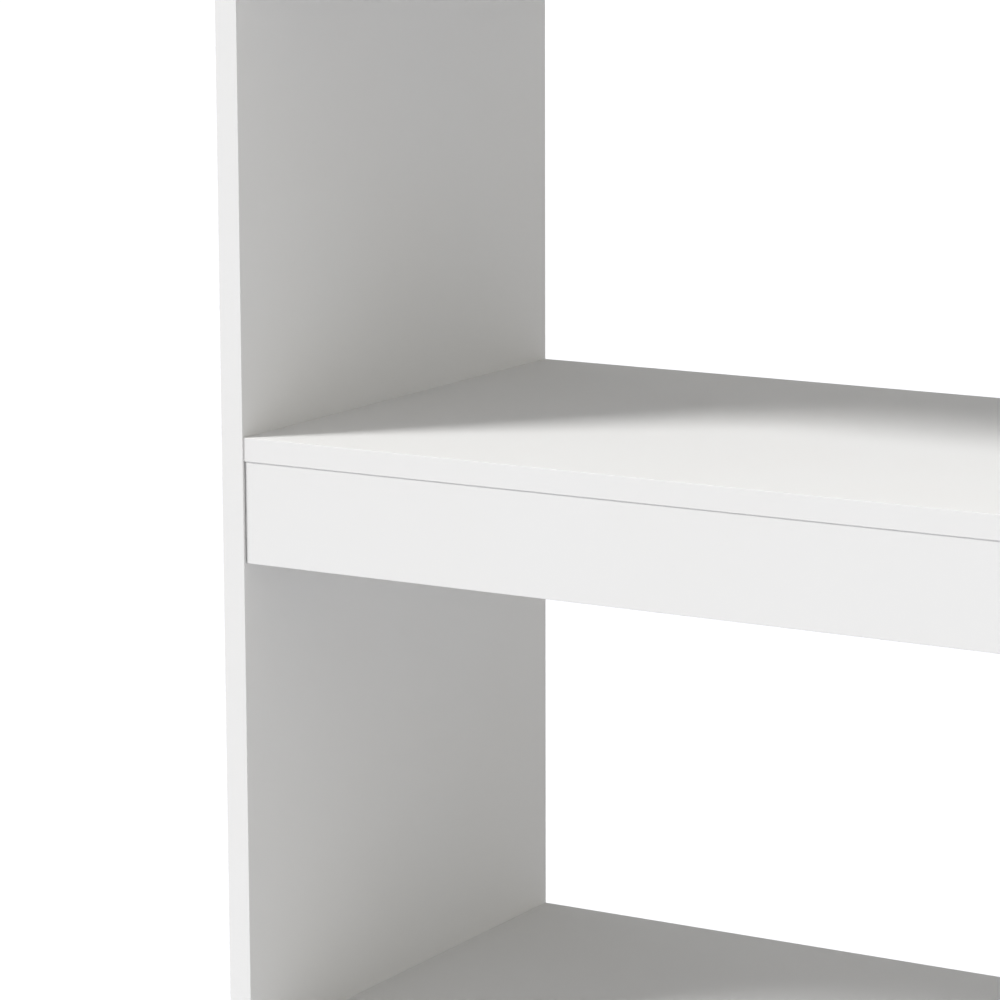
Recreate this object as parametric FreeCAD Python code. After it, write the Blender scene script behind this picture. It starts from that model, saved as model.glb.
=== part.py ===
import FreeCAD, Part
import math
import os

os.makedirs("parts", exist_ok=True)

# Carcass sizes in millimetres
BAYS = 3  # bays side by side, each one tier lower than the bay on its left
UPRIGHT = 17.0  # thickness of the uprights
BOARD = 16.0  # thickness of the shelves and aprons
DEPTH = 400.0  # front edge to back edge of the uprights
SHELF_SETBACK = 1.0  # front edges of the shelves behind those of the uprights
BAY_WIDTH = 800.0  # clear width between two uprights
TIER_PITCH = 420.0  # one shelf top to the next
EDGE_RADIUS = 0.3  # rounding along the long edges of every board
LAP_CLEARANCE = 0.2  # room round an upright where it is halved into a shelf

# Aprons under the front edges of the shelves
APRON_HEIGHT = 69.0  # from the underside of the shelf down
APRON_SETBACK = 0.8  # apron face behind the front edge of its shelf
APRON_END_GAP = 0.8  # room at each end for an upright to slide past
TONGUE_THICKNESS = 6.0  # tongue on the top edge, glued into the shelf
TONGUE_HEIGHT = 5.0
TONGUE_STOP = 30.0  # the tongue stops this far short of each end

# Knock-down fittings at the two ends of each shelf
FASTENER_SIDES = 10  # flats round each hidden fastener and its hole
FIT_CLEARANCE = 0.1  # room all round a fastener or tongue in its hole
HOLE_COVER = 6.0  # board left behind a blind hole in an upright
FITTING_INSET = 60.0  # cam fittings from the front and back edges
CAM_DIAMETER = 15.0
CAM_SETBACK = 24.0  # middle of a cam from the end of its shelf
CAM_ROOF = 1.0  # metal over the head of the bolt
DRIVER_SLOT_WIDTH = 1.6
DRIVER_SLOT_LENGTH = 8.0
DRIVER_SLOT_DEPTH = 1.5
BOLT_DIAMETER = 5.0
BOLT_HEAD_DIAMETER = 7.0
BOLT_HEAD_LENGTH = 3.0
DOWEL_DIAMETER = 8.0
DOWEL_LENGTH = 30.0
DOWEL_OFFSET = 32.0  # dowels from the cam fittings, towards the middle

# Push-in floor glides
GLIDE_HEIGHT = 5.0
GLIDE_DIAMETER = 14.0
GLIDE_INSET = 40.0  # glides from the front and back edges
PEG_DIAMETER = 6.0
PEG_LENGTH = 12.0

# Wall brackets under the back of the top shelf
BRACKET_LEG = 40.0
BRACKET_WIDTH = 20.0
BRACKET_METAL = 2.0
BRACKET_BEND = 1.5  # inside radius of the bend
BRACKET_CORNER = 4.0  # rounding of the corners at the ends of the legs
BRACKET_INSET = 80.0  # middle of a bracket from the upright beside it
WALL_HOLE_DIAMETER = 6.0
HOLE_DROP = 24.0  # holes in both legs from the outside of the bend
SCREW_DIAMETER = 4.0
SCREW_LENGTH = 12.0
SCREW_HEAD_DIAMETER = 8.0
SCREW_HEAD_HEIGHT = 2.4

# Places worked out from the sizes above
X_AXIS = FreeCAD.Vector(1, 0, 0)
Y_AXIS = FreeCAD.Vector(0, 1, 0)
Z_AXIS = FreeCAD.Vector(0, 0, 1)
FRONT = -DEPTH / 2
BACK = DEPTH / 2
SHELF_FRONT = FRONT + SHELF_SETBACK
APRON_FACE = SHELF_FRONT + APRON_SETBACK
BAY_PITCH = BAY_WIDTH + UPRIGHT
LEFT = -(BAYS * BAY_PITCH + UPRIGHT) / 2
HOLE_DEPTH = UPRIGHT - HOLE_COVER
CAM_HEIGHT = BOARD / 2 + BOLT_HEAD_DIAMETER / 2 + CAM_ROOF
CAM_ROWS = (FRONT + FITTING_INSET, BACK - FITTING_INSET)
DOWEL_ROWS = (CAM_ROWS[0] + DOWEL_OFFSET, CAM_ROWS[1] - DOWEL_OFFSET)
GLIDE_ROWS = (FRONT + GLIDE_INSET, BACK - GLIDE_INSET)
SAME_PLACE = 0.01  # points nearer than this are one point


def shelf_top(level):
    """Height of a shelf's top face, counted up from the base shelf at level 0."""
    return GLIDE_HEIGHT + APRON_HEIGHT + BOARD + level * TIER_PITCH


def underside(level):
    return shelf_top(level) - BOARD


def axis_height(level):
    """Height of the bolts and dowels in the ends of a shelf."""
    return shelf_top(level) - BOARD / 2


def bays_at(level):
    """How many bays a shelf spans: the two lowest run the whole width."""
    return min(BAYS, BAYS - level + 1)


def upright_left(index):
    """The left face of an upright, counted from the tall one at index 0."""
    return LEFT + index * BAY_PITCH


def upright_top(index):
    """An upright ends flush with the top shelf of the taller bay beside it."""
    return shelf_top(min(BAYS, BAYS - index + 1))


def shelf_ends(level):
    """For each end of a shelf: the upright it butts on, that face, and the way into the shelf."""
    last = bays_at(level)
    return ((0, upright_left(0) + UPRIGHT, 1), (last, upright_left(last), -1))


def point(x, y, z):
    return FreeCAD.Vector(x, y, z)


def block(corner, opposite):
    """A box between two opposite corners."""
    low = point(*map(min, corner, opposite))
    high = point(*map(max, corner, opposite))
    return Part.makeBox(high.x - low.x, high.y - low.y, high.z - low.z, low)


def rod(start, way, length, diameter):
    """A many-sided rod, for a fastener or the hole that it fills."""
    across = Y_AXIS if abs(way.x) > 0.5 else X_AXIS
    other = way.cross(across)
    turns = [2 * math.pi * side / FASTENER_SIDES for side in range(FASTENER_SIDES + 1)]
    corners = [start + (across * math.cos(t) + other * math.sin(t)) * (diameter / 2) for t in turns]
    return Part.Face(Part.makePolygon(corners)).extrude(way * length)


def rounded(board, along, radius, keep=lambda edge: True):
    """Rounds the straight edges that run along one axis."""
    edges = [e for e in board.Edges if abs(e.tangentAt(e.FirstParameter).dot(along)) > 0.999]
    return board.makeFillet(radius, [e for e in edges if keep(e)])


def centred(edge, place):
    return edge.CenterOfMass.isEqual(place, SAME_PLACE)


def save(name, solids):
    Part.makeCompound(solids).exportStep(f"parts/{name}.step")


# Half laps: an upright enters the front half of a shelf, and the shelf the back half of the upright
def lap_in_shelf(index, level):
    left = upright_left(index) - LAP_CLEARANCE
    right = upright_left(index) + UPRIGHT + LAP_CLEARANCE
    back = LAP_CLEARANCE / 2
    return block(point(left, SHELF_FRONT, underside(level)), point(right, back, shelf_top(level)))


def lap_in_upright(index, level):
    left = upright_left(index)
    bottom = underside(level) - LAP_CLEARANCE
    top = shelf_top(level) + LAP_CLEARANCE
    return block(point(left, -LAP_CLEARANCE / 2, bottom), point(left + UPRIGHT, BACK, top))


# Cam fittings: the cam turns in the shelf and draws in the bolt that is screwed into the upright
def cam_centre(face, way, row, level):
    return point(face + way * CAM_SETBACK, row, underside(level))


def cam_pocket(face, way, row, level):
    diameter = CAM_DIAMETER + 2 * FIT_CLEARANCE
    return rod(cam_centre(face, way, row, level), Z_AXIS, CAM_HEIGHT + FIT_CLEARANCE, diameter)


def bolt_bore(face, way, row, level):
    """The bore in the end of the shelf that lets the bolt's head through to the cam."""
    start = point(face, row, axis_height(level))
    return rod(start, X_AXIS * way, CAM_SETBACK, BOLT_HEAD_DIAMETER + 2 * FIT_CLEARANCE)


def bolt_hole(face, way, row, level):
    """The blind hole in the upright that the bolt is screwed into."""
    start = point(face, row, axis_height(level))
    return rod(start, X_AXIS * -way, HOLE_DEPTH, BOLT_DIAMETER + 2 * FIT_CLEARANCE)


def bolt(face, way, row, level):
    shank_start = point(face - way * (HOLE_DEPTH - FIT_CLEARANCE), row, axis_height(level))
    head_start = point(
        face + way * (CAM_SETBACK - BOLT_HEAD_LENGTH / 2), row, axis_height(level)
    )
    shank_length = (head_start - shank_start).Length
    shank = rod(shank_start, X_AXIS * way, shank_length, BOLT_DIAMETER)
    head = rod(head_start, X_AXIS * way, BOLT_HEAD_LENGTH, BOLT_HEAD_DIAMETER)
    return shank.fuse(head)


def cam_hollows(middle, way):
    """The space inside a cam: room for the bolt's head, a mouth to let it in and a slot to hold it."""
    height = BOLT_HEAD_DIAMETER + 2 * FIT_CLEARANCE
    across_flats = math.hypot(BOLT_HEAD_DIAMETER, BOLT_HEAD_LENGTH) + 2 * FIT_CLEARANCE
    across_corners = across_flats / math.cos(math.pi / FASTENER_SIDES)
    head_room = rod(middle - Z_AXIS * (height / 2), Z_AXIS, height, across_corners)
    mouth = rod(middle, Y_AXIS, CAM_DIAMETER, height)
    half_slot = BOLT_DIAMETER / 2 + FIT_CLEARANCE
    slot = block(
        middle + point(way * half_slot, -half_slot, -half_slot),
        middle + point(-way * CAM_DIAMETER, CAM_DIAMETER, half_slot),
    )
    return [head_room, mouth, slot]


def cam(face, way, row, level):
    centre = cam_centre(face, way, row, level)
    driver_slot = block(
        centre - point(DRIVER_SLOT_LENGTH / 2, DRIVER_SLOT_WIDTH / 2, 0),
        centre + point(DRIVER_SLOT_LENGTH / 2, DRIVER_SLOT_WIDTH / 2, DRIVER_SLOT_DEPTH),
    )
    hollows = cam_hollows(point(centre.x, row, axis_height(level)), way)
    disc = rod(centre, Z_AXIS, CAM_HEIGHT, CAM_DIAMETER)
    return disc.cut(hollows + [driver_slot])


# Dowels that locate each shelf end on its upright
def dowel(face, way, row, level, room=0.0):
    """A dowel, or with some room round it the hole that it fills."""
    start = point(face - way * (HOLE_DEPTH - FIT_CLEARANCE + room), row, axis_height(level))
    return rod(start, X_AXIS * way, DOWEL_LENGTH + 2 * room, DOWEL_DIAMETER + 2 * room)


# Aprons: a rail on edge, with a tongue along its top
def apron_ends(bay):
    return upright_left(bay) + UPRIGHT + APRON_END_GAP, upright_left(bay + 1) - APRON_END_GAP


def tongue(bay, level, room=0.0):
    """The tongue of an apron, or with some room round it the groove in the shelf."""
    start, end = apron_ends(bay)
    middle = APRON_FACE + BOARD / 2
    half = TONGUE_THICKNESS / 2 + room
    return block(
        point(start + TONGUE_STOP - room, middle - half, underside(level)),
        point(end - TONGUE_STOP + room, middle + half, underside(level) + TONGUE_HEIGHT + room),
    )


def apron(bay, level):
    start, end = apron_ends(bay)
    bottom = underside(level) - APRON_HEIGHT
    rail = block(point(start, APRON_FACE, bottom), point(end, APRON_FACE + BOARD, underside(level)))
    rail = rounded(rail, X_AXIS, EDGE_RADIUS, lambda edge: edge.CenterOfMass.z < bottom + SAME_PLACE)
    return rail.fuse(tongue(bay, level))


# Floor glides: a pad with a peg pushed up into the foot of the upright
def glide_centre(index, row):
    return point(upright_left(index) + UPRIGHT / 2, row, GLIDE_HEIGHT)


def glide(index, row):
    pad = rod(glide_centre(index, row), -Z_AXIS, GLIDE_HEIGHT, GLIDE_DIAMETER)
    return pad.fuse(rod(glide_centre(index, row), Z_AXIS, PEG_LENGTH, PEG_DIAMETER))


def peg_hole(index, row):
    return rod(
        glide_centre(index, row),
        Z_AXIS,
        PEG_LENGTH + FIT_CLEARANCE,
        PEG_DIAMETER + 2 * FIT_CLEARANCE,
    )


# Wall brackets: a bent steel angle, screwed up into the top shelf
def bracket_middles():
    return (upright_left(0) + UPRIGHT + BRACKET_INSET, upright_left(1) - BRACKET_INSET)


def bracket_corner(middle):
    """The outside of the bend, under the back edge of the top shelf."""
    return point(middle, BACK, underside(BAYS))


def screw_hole(middle, top, length, diameter):
    corner = bracket_corner(middle)
    return rod(point(corner.x, BACK - HOLE_DROP, corner.z + top - length), Z_AXIS, length, diameter)


def bracket(middle):
    corner = bracket_corner(middle)
    half = BRACKET_WIDTH / 2
    flat_leg = block(corner - point(half, BRACKET_LEG, BRACKET_METAL), corner + point(half, 0, 0))
    wall_leg = block(corner - point(half, BRACKET_METAL, BRACKET_LEG), corner + point(half, 0, 0))
    angle = flat_leg.fuse(wall_leg).removeSplitter()
    inside = corner - point(0, BRACKET_METAL, BRACKET_METAL)
    angle = rounded(angle, X_AXIS, BRACKET_BEND, lambda edge: centred(edge, inside))
    angle = rounded(angle, X_AXIS, BRACKET_BEND + BRACKET_METAL, lambda edge: centred(edge, corner))
    leg_ends = corner - point(0, BRACKET_LEG - SAME_PLACE, BRACKET_LEG - SAME_PLACE)
    angle = rounded(angle, Z_AXIS, BRACKET_CORNER, lambda edge: edge.CenterOfMass.y < leg_ends.y)
    angle = rounded(angle, Y_AXIS, BRACKET_CORNER, lambda edge: edge.CenterOfMass.z < leg_ends.z)
    wall_hole = Part.makeCylinder(
        WALL_HOLE_DIAMETER / 2, BRACKET_METAL, corner - Z_AXIS * HOLE_DROP, -Y_AXIS
    )
    shelf_hole = screw_hole(middle, 0, BRACKET_METAL, SCREW_DIAMETER + 2 * FIT_CLEARANCE)
    return angle.cut([wall_hole, shelf_hole])


def screw(middle):
    shank_top = SCREW_LENGTH - BRACKET_METAL
    head = screw_hole(middle, -BRACKET_METAL, SCREW_HEAD_HEIGHT, SCREW_HEAD_DIAMETER)
    return head.fuse(screw_hole(middle, shank_top, SCREW_LENGTH, SCREW_DIAMETER))


def pilot_hole(middle):
    depth = SCREW_LENGTH - BRACKET_METAL + FIT_CLEARANCE
    return screw_hole(middle, depth, depth, SCREW_DIAMETER + 2 * FIT_CLEARANCE)


# Boards with everything that is cut into them
def upright(index):
    low = point(upright_left(index), FRONT, GLIDE_HEIGHT)
    high = point(upright_left(index) + UPRIGHT, BACK, upright_top(index))
    cuts = [peg_hole(index, row) for row in GLIDE_ROWS]
    for level in range(BAYS + 1):
        if 0 < index < bays_at(level):
            cuts.append(lap_in_upright(index, level))
        for host, face, way in shelf_ends(level):
            if host == index:
                cuts += [bolt_hole(face, way, row, level) for row in CAM_ROWS]
                cuts += [dowel(face, way, row, level, FIT_CLEARANCE) for row in DOWEL_ROWS]
    return rounded(block(low, high), Z_AXIS, EDGE_RADIUS).cut(cuts)


def shelf(level):
    (_, start, _), (_, end, _) = shelf_ends(level)
    board = block(point(start, SHELF_FRONT, underside(level)), point(end, BACK, shelf_top(level)))
    cuts = [tongue(bay, level, FIT_CLEARANCE) for bay in range(bays_at(level))]
    cuts += [lap_in_shelf(index, level) for index in range(1, bays_at(level))]
    for _, face, way in shelf_ends(level):
        for row in CAM_ROWS:
            cuts += [cam_pocket(face, way, row, level), bolt_bore(face, way, row, level)]
        cuts += [dowel(face, way, row, level, FIT_CLEARANCE) for row in DOWEL_ROWS]
    if level == BAYS:
        cuts += [pilot_hole(middle) for middle in bracket_middles()]
    return rounded(board, X_AXIS, EDGE_RADIUS).cut(cuts)


def at_ends(piece, rows, level):
    """One piece for each row of fittings at both ends of a shelf."""
    return [piece(face, way, row, level) for _, face, way in shelf_ends(level) for row in rows]


for index in range(BAYS + 1):
    save(f"upright_{index + 1}", [upright(index)])

for level in range(BAYS + 1):
    save(f"shelf_{level + 1}", [shelf(level)])
    save(f"shelf_{level + 1}_cams", at_ends(cam, CAM_ROWS, level))
    save(f"shelf_{level + 1}_cam_bolts", at_ends(bolt, CAM_ROWS, level))
    save(f"shelf_{level + 1}_dowels", at_ends(dowel, DOWEL_ROWS, level))
    for bay in range(bays_at(level)):
        save(f"apron_{level + 1}_bay_{bay + 1}", [apron(bay, level)])

save("floor_glides", [glide(index, row) for index in range(BAYS + 1) for row in GLIDE_ROWS])

for side, middle in zip(("left", "right"), bracket_middles()):
    save(f"wall_bracket_{side}", [bracket(middle)])
save("bracket_screws", [screw(middle) for middle in bracket_middles()])
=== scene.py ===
# %% [markdown]
# # A staircase bookshelf, dressed in Blender
# The boards, joints and fittings come from the CAD model at their real size, and nothing here moves them.
# This lesson gives every surface its finish, models the small fittings that show on the undersides and at
# the back, and sets up the studio.

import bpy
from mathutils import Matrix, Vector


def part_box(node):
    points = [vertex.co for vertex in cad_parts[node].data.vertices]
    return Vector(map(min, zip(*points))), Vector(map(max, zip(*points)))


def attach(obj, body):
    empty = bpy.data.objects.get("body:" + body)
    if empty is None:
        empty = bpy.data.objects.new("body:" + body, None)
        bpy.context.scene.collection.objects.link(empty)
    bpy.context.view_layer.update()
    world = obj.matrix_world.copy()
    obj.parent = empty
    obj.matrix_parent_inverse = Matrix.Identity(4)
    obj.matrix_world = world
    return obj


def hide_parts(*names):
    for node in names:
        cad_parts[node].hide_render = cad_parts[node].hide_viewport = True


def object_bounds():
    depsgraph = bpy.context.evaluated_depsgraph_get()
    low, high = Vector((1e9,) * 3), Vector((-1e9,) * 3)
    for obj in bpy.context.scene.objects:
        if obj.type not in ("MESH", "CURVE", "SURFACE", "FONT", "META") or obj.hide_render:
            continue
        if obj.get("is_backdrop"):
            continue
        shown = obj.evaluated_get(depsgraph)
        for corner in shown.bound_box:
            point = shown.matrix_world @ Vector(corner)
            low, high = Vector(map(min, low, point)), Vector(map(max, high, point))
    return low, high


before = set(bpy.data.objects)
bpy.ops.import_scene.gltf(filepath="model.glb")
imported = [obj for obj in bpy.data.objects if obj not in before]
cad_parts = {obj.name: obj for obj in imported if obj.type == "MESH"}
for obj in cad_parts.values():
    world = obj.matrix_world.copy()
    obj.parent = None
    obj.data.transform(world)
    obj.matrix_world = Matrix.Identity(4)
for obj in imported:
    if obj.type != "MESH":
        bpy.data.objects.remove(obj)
cad_low, cad_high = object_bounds()
print("CAD nodes:", len(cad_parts))

# %% [markdown]
# ## Modules and the millimetre
# bpy holds Blender's data, bmesh edits meshes, and mathutils has vectors and matrices. Blender counts in
# metres, while furniture is drawn in millimetres. A board could be written as 0.016, but 16 * MM reads as
# the drawing does.

# %% Modules and units
import math

import bmesh
import bpy
from mathutils import Matrix, Vector

MM = 0.001
scene = bpy.context.scene
print("CAD size in millimetres:", [round(side / MM) for side in cad_high - cad_low])

# %% [markdown]
# ## The camera
# The photograph is a close crop of the tall end, taken from the right and a little above with a long lens.
# A camera could be placed by eye, but the edges of the boards give it exactly: it was fitted to them once,
# and its place is written here as real distances from the corner where the tall upright's inner face, the
# front and the top of the photographed shelf meet. A long lens keeps the uprights nearly parallel, as they
# are there.

# %% Camera
_, tall_upright_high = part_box("upright_1")
shelf_low, shelf_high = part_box("shelf_3")
shelf_corner = Vector((tall_upright_high.x, shelf_low.y, shelf_high.z))

CAMERA_FROM_CORNER = Vector((1503.6, -2194.1, 456.6)) * MM
# Degrees
CAMERA_TURN_LEFT = 30.761
CAMERA_TILT_DOWN = 10.649
CAMERA_ROLL = 0.166
# Millimetres, as a camera's settings have them
SENSOR_WIDTH = 36.0
FOCAL_LENGTH = 146.4

camera_data = bpy.data.cameras.new("camera")
camera_data.sensor_width = SENSOR_WIDTH
camera_data.lens = FOCAL_LENGTH
camera = bpy.data.objects.new("camera", camera_data)
scene.collection.objects.link(camera)
scene.camera = camera
turn = Matrix.Rotation(math.radians(CAMERA_TURN_LEFT), 4, "Z")
tilt = Matrix.Rotation(math.radians(90 - CAMERA_TILT_DOWN), 4, "X")
roll = Matrix.Rotation(math.radians(-CAMERA_ROLL), 4, "Z")
camera.matrix_world = Matrix.Translation(shelf_corner + CAMERA_FROM_CORNER) @ turn @ tilt @ roll
print("Camera to shelf corner in metres:", round(CAMERA_FROM_CORNER.length, 3))

# %% [markdown]
# ## Two helpers for materials
# Colours are picked as sRGB hex values, the way a paint chart or a colour picker gives them. They could be
# turned to the linear light that shader sockets take one by one, but then nobody could read them, so one
# function converts them. The other adds a node: it sets the node's options and then fills each input with a
# value or links it to another node's output.

# %% Colours and nodes
def linear(hex_colour):
    """An sRGB hex colour as the linear RGBA that a shader socket takes."""
    channels = [int(hex_colour[i:i + 2], 16) / 255 for i in (1, 3, 5)]
    light = [c / 12.92 if c <= 0.04045 else ((c + 0.055) / 1.055) ** 2.4 for c in channels]
    return (*light, 1.0)


def add_node(tree, kind, inputs=None, **settings):
    """Adds a node. An input gets a value, or the output socket that it is linked to."""
    node = tree.nodes.new(kind)
    for name, value in settings.items():
        setattr(node, name, value)
    for socket, value in (inputs or {}).items():
        if isinstance(value, bpy.types.NodeSocket):
            tree.links.new(value, node.inputs[socket])
        else:
            node.inputs[socket].default_value = value
    return node


print("Mid grey #808080 in linear light:", round(linear("#808080")[0], 3))

# %% [markdown]
# ## One recipe for five finishes
# None of these surfaces is one flat colour. Each has a broad unevenness, where its colour and its sheen
# drift together, and a fine grain that catches the light as low bumps. What differs is the size of the two
# and the way they run: sprayed paint clouds evenly, rolled steel and wood draw out along one axis. Five
# node trees could be built by hand. One recipe does it here: it takes both sizes along X, Y and Z and
# stretches its noise by them. It reads Object coordinates, so the pattern stays put on the piece in every
# view.

# %% Finish recipe
def uneven_finish(name, colours, roughness, broad, grain, grain_height, **sockets):
    """A finish that drifts in colour and roughness over the broad size, with bumps of the grain's size."""
    material = bpy.data.materials.new(name)
    material.use_nodes = True
    tree = material.node_tree
    shader = tree.nodes["Principled BSDF"]
    place = add_node(tree, "ShaderNodeTexCoord").outputs["Object"]
    noises = []
    for size in (broad, grain):
        scaled = add_node(tree, "ShaderNodeMapping", {"Vector": place, "Scale": [1 / s for s in size]})
        noise = add_node(tree, "ShaderNodeTexNoise", {"Vector": scaled.outputs[0], "Scale": 1.0})
        noises.append(noise.outputs["Fac"])
    drift, fine_grain = noises
    # Inputs 6 and 7 of a colour Mix node are its two colours, and output 2 is the mixed one
    tone = add_node(
        tree, "ShaderNodeMix",
        {"Factor": drift, 6: linear(colours[0]), 7: linear(colours[1])},
        data_type="RGBA",
    )
    sheen = add_node(
        tree, "ShaderNodeMapRange",
        {"Value": drift, "To Min": roughness[0], "To Max": roughness[1]},
    )
    bumps = add_node(tree, "ShaderNodeBump", {"Height": fine_grain, "Distance": grain_height})
    tree.links.new(tone.outputs[2], shader.inputs["Base Color"])
    tree.links.new(sheen.outputs["Result"], shader.inputs["Roughness"])
    tree.links.new(bumps.outputs["Normal"], shader.inputs["Normal"])
    for socket, value in sockets.items():
        shader.inputs[socket.replace("_", " ")].default_value = value
    print("Finish:", name, "with", len(tree.nodes), "nodes")
    return material


print("Recipe:", uneven_finish.__doc__)

# %% [markdown]
# ## Matt white lacquer
# The boards are fibreboard, sprayed white on every face and edge, so no edge strip shows. Sprayed lacquer
# clouds by a shade over a hand's width, and dries with an orange peel of very low bumps. A flat white would
# look like plaster. The photograph shows no mirror image even at a flat angle, so the sheen is dull and its
# strength is well under that of a glossy varnish.

# %% Lacquer
# To the eye: an even, faintly warm white, soft on every edge, with no glare
lacquer = uneven_finish(
    "matt_white_lacquer",
    colours=("#ecebe9", "#ededec"),
    roughness=(0.85, 0.92),
    broad=Vector((120, 120, 120)) * MM,
    # Real orange peel is nearer 1 mm, which is too fine to show, so it is drawn coarser
    grain=Vector((2.5, 2.5, 2.5)) * MM,
    grain_height=0.008 * MM,
    IOR=1.5,
    Specular_IOR_Level=0.2,
)

# %% [markdown]
# ## Boards
# Uprights, shelves and aprons have their true shape in the CAD model, with rounded edges, laps and holes.
# They could be modelled again here, but a second model could only drift from the first, so they keep their
# meshes and only change their material.

# %% Lacquer on the boards
def dress(node_name, material):
    """Gives a CAD node that keeps its shape a new material."""
    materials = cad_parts[node_name].data.materials
    materials.clear()
    materials.append(material)


# A shelf's fittings have longer names that start with the shelf's own
shelves = [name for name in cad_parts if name.startswith("shelf_") and name.count("_") == 1]
uprights = [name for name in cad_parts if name.startswith("upright_")]
aprons = [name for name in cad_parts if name.startswith("apron_")]
for board in shelves + uprights + aprons:
    dress(board, lacquer)
print("Lacquered shelves, uprights and aprons:", len(shelves), len(uprights), len(aprons))

# %% [markdown]
# ## Turned shapes
# Cams, bolts, dowels, glides and screws are all round, as if from a lathe. A profile spun about an axis
# would make them, but it leaves a seam to merge. Here a ring of edges is drawn out instead, step by step,
# to each radius and height of the outline, and the last ring is closed, which keeps every shape watertight
# from the start.

# %% Draw a ring out along an outline
STEPS_ROUND = 32


def draw_out(bm, rim, start, outline):
    """Extrudes a rim of edges through rings of (radius, height) in millimetres, and closes the last one."""
    radius, height = start
    for next_radius, next_height in outline:
        grown = bmesh.ops.extrude_edge_only(bm, edges=rim)["geom"]
        rim = [edge for edge in grown if isinstance(edge, bmesh.types.BMEdge) and edge.is_boundary]
        verts = list(dict.fromkeys(vert for edge in rim for vert in edge.verts))
        ratio = next_radius / radius
        bmesh.ops.scale(bm, vec=(ratio, ratio, 1), verts=verts)
        bmesh.ops.translate(bm, vec=(0, 0, next_height - height), verts=verts)
        radius, height = next_radius, next_height
    bmesh.ops.edgeloop_fill(bm, edges=rim)


def turned(bm, outline, steps=STEPS_ROUND):
    """A closed turned shape along Z, from its first ring to its last."""
    radius, height = outline[0]
    lift = Matrix.Translation((0, 0, height))
    disc = bmesh.ops.create_circle(bm, cap_ends=True, segments=steps, radius=radius, matrix=lift)["verts"]
    rim = list(disc[0].link_faces[0].edges)
    draw_out(bm, rim, outline[0], outline[1:])


print(f"The flats lie {1 - math.cos(math.pi / STEPS_ROUND):.1%} of the radius inside the true round")

# %% [markdown]
# ## Cams: a face with a cross recess
# A cam is the round die-cast button in the underside of a shelf end. A half turn of it grips the head of a
# bolt and pulls the shelf onto the upright. Only its face shows, flush with the board, with a recess for a
# cross-tip driver. A Boolean could cut the recess, and would leave ragged triangles round it. Here its
# floor comes first, a grid of nine cells without the corners. The floor's edge is drawn out to the face,
# and the face is filled between the cross and the round rim.

# %% Face with a cross recess
RECESS_FLARE = 1.15  # how many times wider a recess is at its mouth than at its floor


def recessed_face(bm, radius, arm_length, arm_width, depth):
    """A round face at height 0 with a cross sunk into it towards +Z. Gives back the edges of its rim."""
    floor_corners = bmesh.ops.create_grid(bm, x_segments=3, y_segments=3, size=arm_length / 2)["verts"]
    for vert in floor_corners:
        for axis in (0, 1):
            # The grid's inner lines move to the sides of the arms
            if abs(vert.co[axis]) < arm_length / 4:
                vert.co[axis] = math.copysign(arm_width / 2, vert.co[axis])
        vert.co.z = depth
    corner_cells = [
        face for face in bm.faces
        if min(abs(face.calc_center_median().x), abs(face.calc_center_median().y)) > arm_width / 2
    ]
    bmesh.ops.delete(bm, geom=corner_cells, context="FACES")
    floor_edge = [edge for edge in bm.edges if edge.is_boundary]
    grown = bmesh.ops.extrude_edge_only(bm, edges=floor_edge)["geom"]
    mouth = [edge for edge in grown if isinstance(edge, bmesh.types.BMEdge) and edge.is_boundary]
    mouth_verts = list(dict.fromkeys(vert for edge in mouth for vert in edge.verts))
    bmesh.ops.translate(bm, vec=(0, 0, -depth), verts=mouth_verts)
    bmesh.ops.scale(bm, vec=(RECESS_FLARE, RECESS_FLARE, 1), verts=mouth_verts)
    ring = bmesh.ops.create_circle(bm, cap_ends=False, segments=STEPS_ROUND, radius=radius)["verts"]
    rim = list(dict.fromkeys(edge for vert in ring for edge in vert.link_edges))
    bmesh.ops.triangle_fill(bm, use_beauty=True, edges=mouth + rim)
    return rim


print("A recess is", RECESS_FLARE, "times wider at its mouth than at its floor")

# %% Cam face
# A fitting's own sizes are plain millimetres
CAM_RADIUS = 7.2
CAM_CHAMFER = 0.4

cam = bmesh.new()
cam_face_radius = CAM_RADIUS - CAM_CHAMFER
cam_rim = recessed_face(cam, cam_face_radius, arm_length=7.0, arm_width=1.6, depth=2.0)
print("Cam face and recess:", len(cam.faces), "faces")

# %% [markdown]
# ## Cams: rim, wall and roof
# The face goes on in a chamfered rim. Behind it are a C-shaped wall, open where the bolt comes in, and a
# thin roof. A whole ring could be cut open for the bolt. It is simpler to spin the wall's section only part
# of the way round.

# %% Cam body
def spun(bm, section, sweep, steps, start=0.0, rise=0.0):
    """Spins a closed section of (radius, height) points round Z, by degrees, and lifts it at each step."""
    verts = [bm.verts.new((radius, 0, height)) for radius, height in section]
    turn = Matrix.Rotation(math.radians(start), 3, "Z")
    bmesh.ops.rotate(bm, cent=(0, 0, 0), matrix=turn, verts=verts)
    face = bmesh.ops.contextual_create(bm, geom=verts)["faces"]
    bmesh.ops.spin(
        bm, geom=face, axis=(0, 0, 1), cent=(0, 0, 0), dvec=(0, 0, rise),
        angle=math.radians(sweep), steps=steps, use_merge=False,
    )


BOARD = (shelf_high.z - shelf_low.z) / MM  # thickness of a shelf
CAM_SETBACK = 24.0  # middle of a cam from the end of its shelf
CAM_FACE = 3.2  # thickness of the disc behind the face
CAM_HOLLOW_RADIUS = 4.3
CAM_ROOF_FROM = 11.6
CAM_ROOF_TO = 12.5
# Degrees, with the open stretch of the wall on the side of the bolt
CAM_WALL_START = -140
CAM_WALL_SWEEP = 230

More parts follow.
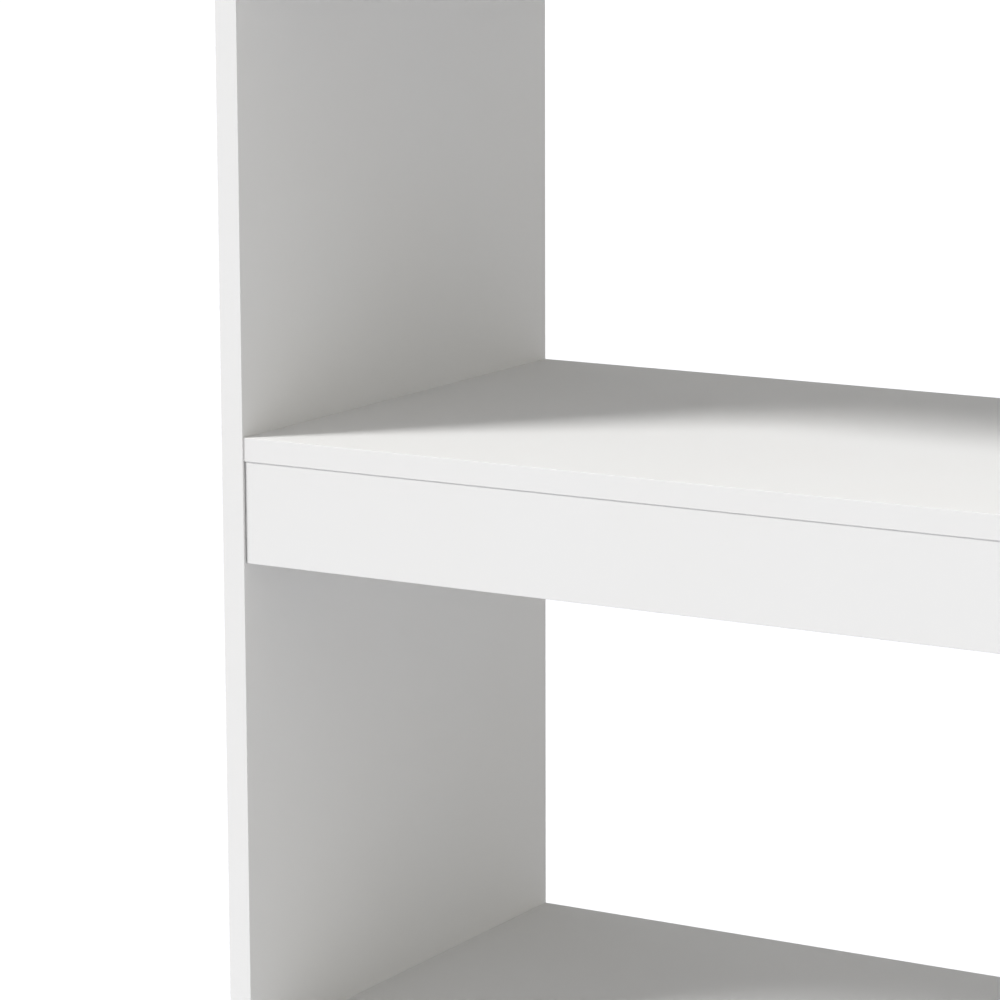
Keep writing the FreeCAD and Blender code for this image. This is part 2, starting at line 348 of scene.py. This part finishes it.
draw_out(cam, cam_rim, (cam_face_radius, 0), [(CAM_RADIUS, CAM_CHAMFER), (CAM_RADIUS, CAM_FACE)])
wall_section = [
    (CAM_HOLLOW_RADIUS, CAM_FACE), (CAM_RADIUS, CAM_FACE),
    (CAM_RADIUS, CAM_ROOF_FROM), (CAM_HOLLOW_RADIUS, CAM_ROOF_FROM),
]
spun(cam, wall_section, sweep=CAM_WALL_SWEEP, steps=STEPS_ROUND, start=CAM_WALL_START)
turned(cam, [(CAM_RADIUS, CAM_ROOF_FROM), (CAM_RADIUS, CAM_ROOF_TO)])
bmesh.ops.translate(cam, vec=(CAM_SETBACK, 0, -BOARD / 2), verts=cam.verts)
print("Whole cam:", len(cam.faces), "faces")

# %% [markdown]
# ## Where the fittings sit
# Each end of a shelf has two cams with their bolts, one near the front and one near the back, and a dowel
# beside each. Their places could be typed in one by one. The frame knows where each shelf ends, so they are
# worked out from there, and every fitting faces into its shelf.

# %% Places at the shelf ends
FITTING_INSET = 60 * MM  # cams and bolts from the front and back edges


def shelf_end_places(shelf, inset):
    """Where X points into the shelf from each end face, at mid-thickness, in two rows along the uprights."""
    low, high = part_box(shelf)
    middle = (low.z + high.z) / 2
    places = []
    for end, turn in ((low.x, 0), (high.x, math.pi)):
        for row in (cad_low.y + inset, cad_high.y - inset):
            places.append(Matrix.Translation((end, row, middle)) @ Matrix.Rotation(turn, 4, "Z"))
    return places


cam_places = {shelf: shelf_end_places(shelf, FITTING_INSET) for shelf in shelves}
print("Places for cams:", sum(len(places) for places in cam_places.values()))

# %% [markdown]
# ## From one fitting to many
# The fittings of a kind are all alike, as if from one bag, so each is modelled once, in millimetres about
# its own origin. Its copies could be linked objects, one for each place. Instead all copies that stand for
# one CAD node become one piece at the scene's origin, with their places in the mesh, as the CAD nodes have
# theirs.

# %% Copy a fitting to its places
SHARP_ANGLE = 35


def set_in_place(name, fitting, places, node, material):
    """One piece made of copies of a fitting, which replaces a CAD node and rides on its body."""
    bmesh.ops.recalc_face_normals(fitting, faces=fitting.faces)
    mesh = bpy.data.meshes.new(name)
    together = bmesh.new()
    for place in places:
        copy = fitting.copy()
        bmesh.ops.transform(copy, matrix=place @ Matrix.Scale(MM, 4), verts=copy.verts)
        copy.to_mesh(mesh)
        copy.free()
        together.from_mesh(mesh)
    together.to_mesh(mesh)
    together.free()
    mesh.shade_smooth()
    mesh.set_sharp_from_angle(angle=math.radians(SHARP_ANGLE))
    mesh.materials.append(material)
    piece = bpy.data.objects.new(name, mesh)
    scene.collection.objects.link(piece)
    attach(piece, "root")
    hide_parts(node)
    print(name, "copies:", len(places), "faces:", len(mesh.polygons))


print("Edges that turn by more than", SHARP_ANGLE, "degrees stay sharp")

# %% [markdown]
# ## Zinc die-cast
# Cams are zinc, injected into a steel mould and tumbled. The metal comes out a soft mid grey with a satin
# lustre that varies from spot to spot, and a skin of tiny dimples. A plain metal would look machined, so
# the spots are a few millimetres wide and the dimples rather deep for their size.

# %% Cams in the shelf ends
# To the eye: dull silver grey, blotchy at close range, with broad soft highlights
die_cast_zinc = uneven_finish(
    "die_cast_zinc",
    colours=("#a9abad", "#bcbec0"),
    roughness=(0.36, 0.5),
    broad=Vector((5, 5, 5)) * MM,
    # Real dimples are too fine to show, so they are drawn coarser
    grain=Vector((0.6, 0.6, 0.6)) * MM,
    grain_height=0.02 * MM,
    Metallic=1.0,
)
for shelf, places in cam_places.items():
    set_in_place(f"{shelf}_cam_set", cam, places, f"{shelf}_cams", die_cast_zinc)
cam.free()

# %% [markdown]
# ## Cam bolts: the thread
# A cam bolt has a coarse thread that cuts its own way into the upright. A Screw modifier could wind it.
# Here a three-sided ridge is spun and lifted at once, with its root a little inside the core so that no
# slit shows. The bracket screws get theirs in the same way.

# %% Thread
THREAD_ROOT = 0.05  # how deep a ridge is sunk into the core
THREAD_STEPS = 16


def thread(bm, core, outside, start, turns, pitch):
    """A helical ridge round the Z axis, from the core's radius to the outside radius."""
    root = core - THREAD_ROOT
    section = [(root, start), (outside, start + pitch / 4), (root, start + pitch / 2)]
    spun(bm, section, sweep=360 * turns, steps=THREAD_STEPS * turns, rise=pitch / THREAD_STEPS)


print("A thread climbs in", THREAD_STEPS, "steps for each turn")

# %% [markdown]
# ## Cam bolts: the body
# The bolt is screwed into the upright up to its collar, and its head stands out into the shelf for the cam
# to grip. It could be put together from cylinders, but those would leave faces inside. It is drawn out in
# one go along Z, from the tip to the head, and then laid along X.

# %% Cam bolt
# Radii
BOLT_TIP_RADIUS = 1.0
BOLT_CORE = 1.9
BOLT_SHANK = 2.45
BOLT_COLLAR = 3.4
BOLT_NECK = 2.0
# Places along the bolt, from the face of the upright
BOLT_TIP = -10.9
BOLT_COLLAR_FROM = 0.1
BOLT_COLLAR_TO = 1.6
BOLT_NECK_FROM = 19.0
BOLT_NECK_TO = 22.5
BOLT_HEAD_TO = 25.5
# Lengths of its tapers and chamfers
BOLT_TAPER = 1.0
COLLAR_CHAMFER = 0.3
UNDER_HEAD = 0.4
HEAD_CHAMFER = 0.6
ALONG_X = Matrix.Rotation(math.radians(90), 3, "Y")

bolt = bmesh.new()
turned(bolt, [
    (BOLT_TIP_RADIUS, BOLT_TIP), (BOLT_CORE, BOLT_TIP + BOLT_TAPER), (BOLT_CORE, BOLT_COLLAR_FROM),
    (BOLT_COLLAR, BOLT_COLLAR_FROM), (BOLT_COLLAR, BOLT_COLLAR_TO),
    (BOLT_SHANK, BOLT_COLLAR_TO + COLLAR_CHAMFER), (BOLT_SHANK, BOLT_NECK_FROM - BOLT_TAPER),
    (BOLT_NECK, BOLT_NECK_FROM), (BOLT_NECK, BOLT_NECK_TO),
    (BOLT_COLLAR, BOLT_NECK_TO + UNDER_HEAD), (BOLT_COLLAR, BOLT_HEAD_TO - HEAD_CHAMFER),
    (BOLT_COLLAR - HEAD_CHAMFER, BOLT_HEAD_TO),
])
thread(bolt, BOLT_CORE, BOLT_SHANK, start=BOLT_TIP + BOLT_TAPER, turns=4, pitch=2.2)
bmesh.ops.rotate(bolt, cent=(0, 0, 0), matrix=ALONG_X, verts=bolt.verts)
print("Cam bolt:", len(bolt.faces), "faces")

# %% [markdown]
# ## Zinc-plated steel
# Bolts, screws and brackets are steel, barrel-plated with zinc and passivated clear. The plating is thin
# and bright, a little bluish, and keeps the lines of the rolled or drawn metal under it. Anisotropic
# shading could hint at those lines, but real bumps also show close by, so the grain is drawn out along one
# axis.

# %% Cam bolts in the uprights
# To the eye: bright cool silver with fine drawn lines and small sharp highlights
plated_steel = uneven_finish(
    "zinc_plated_steel",
    colours=("#c2c6ca", "#d2d5d8"),
    roughness=(0.26, 0.38),
    broad=Vector((14, 6, 14)) * MM,
    # Real lines are too fine to show, so these are coarser
    grain=Vector((0.4, 6.0, 0.4)) * MM,
    grain_height=0.006 * MM,
    Metallic=1.0,
)
for shelf, places in cam_places.items():
    bolts = f"{shelf}_cam_bolts"
    set_in_place(f"{shelf}_bolt_set", bolt, places, bolts, plated_steel)
bolt.free()

# %% [markdown]
# ## Dowels
# A dowel locates the shelf end while the cam is turned. It is a beech rod pressed through a fluted die: the
# flutes let air and glue out of the hole. They could be cut one by one with a tool shape. A rod whose ring
# has two corners for each flute needs no cutting: every second corner is pushed in.

# %% Dowel
DOWEL_START = -10.9
DOWEL_END = 19.1
DOWEL_RADIUS = 3.85
DOWEL_FLUTES = 18
FLUTE_DEPTH = 0.3
DOWEL_CHAMFER = 1.0

dowel = bmesh.new()
dowel_tip = DOWEL_RADIUS - DOWEL_CHAMFER
turned(dowel, [
    (dowel_tip, DOWEL_START), (DOWEL_RADIUS, DOWEL_START + DOWEL_CHAMFER),
    (DOWEL_RADIUS, DOWEL_END - DOWEL_CHAMFER), (dowel_tip, DOWEL_END),
], steps=2 * DOWEL_FLUTES)
corner_turn = math.pi / DOWEL_FLUTES
inward = (DOWEL_RADIUS - FLUTE_DEPTH) / DOWEL_RADIUS
valleys = [vert for vert in dowel.verts if round(math.atan2(vert.co.y, vert.co.x) / corner_turn) % 2]
bmesh.ops.scale(dowel, vec=(inward, inward, 1), verts=valleys)
bmesh.ops.rotate(dowel, cent=(0, 0, 0), matrix=ALONG_X, verts=dowel.verts)
print("Dowel:", len(dowel.faces), "faces,", DOWEL_FLUTES, "flutes")

# %% [markdown]
# ## Beech
# Beech is a pale pinkish-brown wood with a straight, close grain and short darker flecks. Growth rings
# could be drawn with a wave texture, but a rod this thin shows only streaks. They run along the rod, so the
# noise is drawn out along X, the way the dowels lie.

# %% Dowels in the shelf ends
DOWEL_OFFSET = 32 * MM  # dowels from the cams, towards the middle

# To the eye: warm, even, pale brown with fine streaks and no gloss
beech = uneven_finish(
    "beech",
    colours=("#b98a58", "#d6b184"),
    roughness=(0.55, 0.7),
    broad=Vector((14, 0.9, 0.9)) * MM,
    grain=Vector((4, 0.3, 0.3)) * MM,
    grain_height=0.03 * MM,
    IOR=1.5,
)
for shelf in shelves:
    places = shelf_end_places(shelf, FITTING_INSET + DOWEL_OFFSET)
    set_in_place(f"{shelf}_dowel_set", dowel, places, f"{shelf}_dowels", beech)
dowel.free()

# %% [markdown]
# ## Floor glides
# Each upright stands on two push-in glides: a thick pad with a rounded lower edge that slides on the floor,
# and a peg with barbs that holds it in the foot of the upright. The rounding could be a bevel on a finished
# disc. As the pad is drawn out ring by ring anyway, the rounding is a few more rings along a quarter
# circle.

# %% Glide
def quarter_round(centre, radius, start, steps=5):
    """Points (radius, height) round a quarter circle, anticlockwise from an angle in degrees."""
    angles = [math.radians(start + 90 * step / steps) for step in range(steps + 1)]
    return [(centre[0] + radius * math.cos(a), centre[1] + radius * math.sin(a)) for a in angles]


GLIDE_HEIGHT = 5.0
GLIDE_RADIUS = 7.0
GLIDE_ROUNDING = 1.6
GLIDE_CHAMFER = 0.3
PEG_RADIUS = 2.5
PEG_LENGTH = 12.0
PEG_TIP_RADIUS = 1.5
BARBS = 3
BARB_RADIUS = 2.9
BARB_PITCH = 3.0
BARB_HALF_LENGTH = 1.0
BARB_LIP = 0.2  # length of the steep side that holds the peg in

foot_centre = (GLIDE_RADIUS - GLIDE_ROUNDING, GLIDE_ROUNDING - GLIDE_HEIGHT)
foot = quarter_round(foot_centre, GLIDE_ROUNDING, start=-90)
peg = [(GLIDE_RADIUS, -GLIDE_CHAMFER), (GLIDE_RADIUS - GLIDE_CHAMFER, 0.0), (PEG_RADIUS, 0.0)]
for barb in range(BARBS):
    middle = (barb + 1) * BARB_PITCH
    below = middle - BARB_HALF_LENGTH
    peg += [(PEG_RADIUS, below), (BARB_RADIUS, below + BARB_LIP), (PEG_RADIUS, middle + BARB_HALF_LENGTH)]
glide = bmesh.new()
turned(glide, foot + peg + [(PEG_TIP_RADIUS, PEG_LENGTH)])
print("Glide:", len(glide.faces), "faces")

# %% [markdown]
# ## Moulded polyethylene
# The glides are polyethylene, injection moulded in white. It is slightly waxy and less bright than the
# lacquer, and its skin copies the fine spark-eroded texture of the mould. Light scattering under the skin
# could be added, but on a pad of this size in the shadow of an upright it wouldn't show.

# %% Glides under the uprights
GLIDE_INSET = 40 * MM  # glides from the front and back edges

# To the eye: milky white with a waxy, half-dull sheen
polyethylene = uneven_finish(
    "moulded_white_polyethylene",
    colours=("#dcdcd6", "#e4e4df"),
    roughness=(0.4, 0.5),
    broad=Vector((8, 8, 8)) * MM,
    # A real mould's texture is too fine to show, so it is drawn coarser
    grain=Vector((0.5, 0.5, 0.5)) * MM,
    grain_height=0.01 * MM,
    IOR=1.51,
)
glide_places = []
for upright in uprights:
    low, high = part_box(upright)
    for row in (low.y + GLIDE_INSET, high.y - GLIDE_INSET):
        glide_places.append(Matrix.Translation(((low.x + high.x) / 2, row, low.z)))
set_in_place("glide_set", glide, glide_places, "floor_glides", polyethylene)
glide.free()

# %% [markdown]
# ## Bracket screws
# Two pan-head screws hold the wall brackets under the top shelf. A ready-made cylinder with a bump map
# would pass from far off, but the head is seen from below, so it is a rounded button with the same cross
# recess as a cam. Its rim is drawn out to the head's edge, down to the shank and on to the point, and the
# thread is wound round it.

# %% Screw
BRACKET_METAL = 2.0
SCREW_HEAD_RADIUS = 4.0
SCREW_HEAD_HEIGHT = 2.4
SCREW_HEAD_ROUNDING = 1.2
SCREW_CORE = 1.5
SCREW_OUTSIDE = 1.95
SCREW_TOP = 14.4
SCREW_POINT_LENGTH = 2.5
SCREW_POINT_RADIUS = 0.3
SCREW_PLAIN_NECK = 0.4  # from the head to the start of the thread

screw = bmesh.new()
screw_face_radius = SCREW_HEAD_RADIUS - SCREW_HEAD_ROUNDING
screw_rim = recessed_face(screw, screw_face_radius, arm_length=4.2, arm_width=0.9, depth=1.4)
shoulder = quarter_round((screw_face_radius, SCREW_HEAD_ROUNDING), SCREW_HEAD_ROUNDING, start=-90)[1:]
draw_out(screw, screw_rim, (screw_face_radius, 0), shoulder + [
    (SCREW_HEAD_RADIUS, SCREW_HEAD_HEIGHT), (SCREW_CORE, SCREW_HEAD_HEIGHT),
    (SCREW_CORE, SCREW_TOP - SCREW_POINT_LENGTH), (SCREW_POINT_RADIUS, SCREW_TOP),
])
thread(screw, SCREW_CORE, SCREW_OUTSIDE, start=SCREW_HEAD_HEIGHT + SCREW_PLAIN_NECK, turns=5, pitch=1.7)
bmesh.ops.translate(screw, vec=(0, 0, -BRACKET_METAL - SCREW_HEAD_HEIGHT), verts=screw.verts)
print("Screw:", len(screw.faces), "faces")

# %% [markdown]
# ## Wall brackets
# A wide bookshelf with an open back is fixed to the wall by two angles, bent from steel strip, under the
# back of the top shelf. Their bends, rounded corners and holes are right in the CAD model, so they only get
# their metal. Each bracket's own box then says where its screw goes.

# %% Brackets and their screws
HOLE_FROM_WALL = 24 * MM  # middle of the screw hole from the back of the bracket

brackets = [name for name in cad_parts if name.startswith("wall_bracket_")]
screw_places = []
for bracket in brackets:
    dress(bracket, plated_steel)
    low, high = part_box(bracket)
    screw_places.append(Matrix.Translation(((low.x + high.x) / 2, high.y - HOLE_FROM_WALL, high.z)))
set_in_place("bracket_screw_set", screw, screw_places, "bracket_screws", plated_steel)
screw.free()

# %% [markdown]
# ## The key light
# The light in the photograph comes from the left front, high up, and its shadows have soft edges about as
# wide as a hand, so it is one big lamp. An area lamp could stand there, but its light fades with distance,
# and this long piece should be lit alike from end to end. A sun with a wide disc has the same soft edge
# everywhere.

# %% Key light
KEY_DIRECTION = Vector((0.543, 0.516, -0.663))
KEY_STRENGTH = 2.68
KEY_DISC = 15.0  # degrees across

key_data = bpy.data.lights.new("key", "SUN")
key_data.energy = KEY_STRENGTH
key_data.angle = math.radians(KEY_DISC)
key = bpy.data.objects.new("key", key_data)
scene.collection.objects.link(key)
key.matrix_world = KEY_DIRECTION.to_track_quat("-Z", "Y").to_matrix().to_4x4()
key_height = math.degrees(math.asin(-KEY_DIRECTION.normalized().z))
print("Key light stands", round(key_height), "degrees above the floor")

# %% [markdown]
# ## Soft lights
# The shaded faces are lit from the left, from the right and, more faintly, from high in front, and hardly
# at all from behind, and the light from the right is a shade warmer. Three large lamps could stand there. It
# is simpler to make them part of the world: its light grows towards each of three directions and has faded
# to nothing at a right angle to it.

# %% Soft lights in the world
# Each soft light: where it stands, its colour and strength, and how sharply it fades away from its middle
SOFT_LIGHTS = [
    (Vector((-1, 0, 0.18)), "#ffffff", 0.65, 1),
    (Vector((1, 0, 0.18)), "#fffdf6", 1.14, 4),
    (Vector((0, -1, 1.2)), "#ffffff", 0.26, 1),
]

world = bpy.data.worlds.new("studio")
scene.world = world
world.use_nodes = True
tree = world.node_tree
tree.nodes.clear()
direction = add_node(tree, "ShaderNodeTexCoord").outputs["Generated"]
light = Vector((0, 0, 0))
for stand, colour, strength, sharpness in SOFT_LIGHTS:
    axis = stand.normalized()
    facing = add_node(tree, "ShaderNodeVectorMath", {0: direction, 1: axis}, operation="DOT_PRODUCT")
    near_side = add_node(tree, "ShaderNodeMath", {0: facing.outputs["Value"], 1: 0.0}, operation="MAXIMUM")
    faded = add_node(tree, "ShaderNodeMath", {0: near_side.outputs[0], 1: sharpness}, operation="POWER")
    full = Vector(linear(colour)[:3]) * strength
    light = add_node(
        tree, "ShaderNodeVectorMath", {0: faded.outputs[0], 1: full, 2: light}, operation="MULTIPLY_ADD"
    ).outputs[0]
soft_boxes = add_node(tree, "ShaderNodeBackground", {"Color": light, "Strength": 1.0})
print("Soft lights:", len(SOFT_LIGHTS), "in", len(tree.nodes), "nodes")

# %% [markdown]
# ## White surroundings
# The background of the photograph is plain white. A brighter world would make it white and flood the
# bookshelf with light as well. Here only rays that show the background itself, straight to the camera or in
# a reflection, get a strength of 1, which is white on screen. All other rays get the soft lights.

# %% White background
WHITE = linear("#ffffff")


def seen_directly(tree):
    """1 for rays that show the background itself: seen by the camera, in a reflection or through glass."""
    ray = add_node(tree, "ShaderNodeLightPath").outputs
    mirrored = add_node(
        tree, "ShaderNodeMath", {0: ray["Is Glossy Ray"], 1: ray["Is Transmission Ray"]}, operation="MAXIMUM"
    )
    return add_node(
        tree, "ShaderNodeMath", {0: ray["Is Camera Ray"], 1: mirrored.outputs[0]}, operation="MAXIMUM"
    ).outputs[0]


white_wall = add_node(tree, "ShaderNodeBackground", {"Color": WHITE, "Strength": 1.0})
backdrop = add_node(
    tree, "ShaderNodeMixShader",
    {0: seen_directly(tree), 1: soft_boxes.outputs[0], 2: white_wall.outputs[0]},
)
add_node(tree, "ShaderNodeOutputWorld", {"Surface": backdrop.outputs[0]})
print("World nodes:", len(tree.nodes))

# %% [markdown]
# ## The floor
# A studio floor is a wide sheet of paper that carries the shadow. A small sheet would do for the photograph,
# but its edge would show in other views, so this one reaches far past the bookshelf on every side.

# %% Floor
FLOOR_HALF_SIZE = 40.0  # metres

floor_mesh = bpy.data.meshes.new("floor")
sheet = bmesh.new()
bmesh.ops.create_grid(sheet, x_segments=1, y_segments=1, size=FLOOR_HALF_SIZE)
sheet.to_mesh(floor_mesh)
sheet.free()
floor = bpy.data.objects.new("floor", floor_mesh)
scene.collection.objects.link(floor)
floor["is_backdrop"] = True
print("Floor reaches", FLOOR_HALF_SIZE, "m each way")

# %% [markdown]
# ## White paper
# The paper throws light back at the bookshelf. A white floor that is lit to pure white could do it, but
# would throw back too much. So the paper is a light grey, and a faint glow that only direct rays see lifts
# it to the white of the background without adding light to the bookshelf. It is also a breath cooler than
# the lacquer: the fronts, which it lights most, are a neutral white in the photograph, and the tops and
# sides a slightly warm one.

# %% Paper on the floor
FLOOR_GLOW = 0.42

# To the eye: an even white sheet with no sheen, on which only the shadow shows
paper = bpy.data.materials.new("white_paper")
paper.use_nodes = True
tree = paper.node_tree
shader = tree.nodes["Principled BSDF"]
glow = add_node(tree, "ShaderNodeMath", {0: seen_directly(tree), 1: FLOOR_GLOW}, operation="MULTIPLY")
tree.links.new(glow.outputs[0], shader.inputs["Emission Strength"])
shader.inputs["Emission Color"].default_value = WHITE
shader.inputs["Base Color"].default_value = linear("#d7d8dd")
shader.inputs["Roughness"].default_value = 1.0
shader.inputs["Specular IOR Level"].default_value = 0.0
floor_mesh.materials.append(paper)
print("Paper nodes:", len(tree.nodes))

# %% [markdown]
# ## Last lines
# The view transform is Standard, so a colour comes out as it was picked. The box of the dressed bookshelf
# is written beside the CAD box, to see that nothing has grown.

# %% Finish
scene.view_settings.view_transform = "Standard"
low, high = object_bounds()
print("Dressed size in millimetres:", [round(side / MM) for side in high - low])
